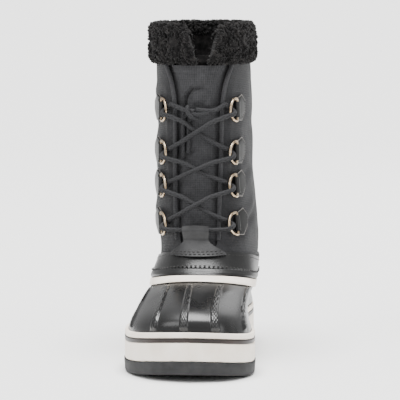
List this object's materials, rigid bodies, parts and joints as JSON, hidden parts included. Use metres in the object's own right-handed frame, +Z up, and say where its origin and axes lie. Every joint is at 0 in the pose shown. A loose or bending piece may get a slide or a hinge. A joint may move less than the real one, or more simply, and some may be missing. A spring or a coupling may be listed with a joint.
{
  "type": "pac boot",
  "caption": "Lace-up winter pac boot, right foot: ribbed rubber shell, nylon shaft, pile cuff, D-ring lacing and a thick banded sole.",
  "frame": {"origin": "middle of the ground under the boot's box", "axes": "+Z up, the toe points to -Y and the heel to +Y, +X is the inner (medial) side of the foot"},
  "size_m": [0.1138, 0.3082, 0.296],
  "materials": {
    "outsole_rubber": "matt moulded",
    "cream_rubber": "satin moulded",
    "stripe_rubber": "glossy",
    "shell_rubber": "semi-gloss, ribbed",
    "nylon": "heavy plain weave",
    "leather": "satin, fine grain",
    "pile": "curled fleece",
    "felt": "pressed felt",
    "antique_brass": "antiqued, polished on the edges",
    "lace_cord": "round braid"
  },
  "bodies": {
    "root": {"outsole": "outsole_rubber", "midsole": "cream_rubber", "foxing_stripe": "stripe_rubber", "foxing_bead": "cream_rubber", "insole": "felt", "shell": "shell_rubber", "shell_trim": "cream_rubber", "heel_counter": "shell_rubber", "heel_piping": "cream_rubber", "shaft": "nylon", "tongue": "nylon", "vamp_overlay": "leather", "cuff": "pile", "d_ring_inner_1": "antique_brass", "d_ring_inner_2": "antique_brass", "d_ring_inner_3": "antique_brass", "d_ring_inner_4": "antique_brass", "d_ring_outer_1": "antique_brass", "d_ring_outer_2": "antique_brass", "d_ring_outer_3": "antique_brass", "d_ring_outer_4": "antique_brass", "ring_tab_inner_1": "leather", "ring_tab_inner_2": "leather", "ring_tab_inner_3": "leather", "ring_tab_inner_4": "leather", "ring_tab_outer_1": "leather", "ring_tab_outer_2": "leather", "ring_tab_outer_3": "leather", "ring_tab_outer_4": "leather", "lace_bar": "lace_cord", "lace_crossing_lower": "lace_cord", "lace_crossing_middle": "lace_cord", "lace_crossing_upper": "lace_cord", "lace_knot": "lace_cord", "lace_end_inner": "lace_cord", "lace_end_outer": "lace_cord"}
  },
  "joints": []
}
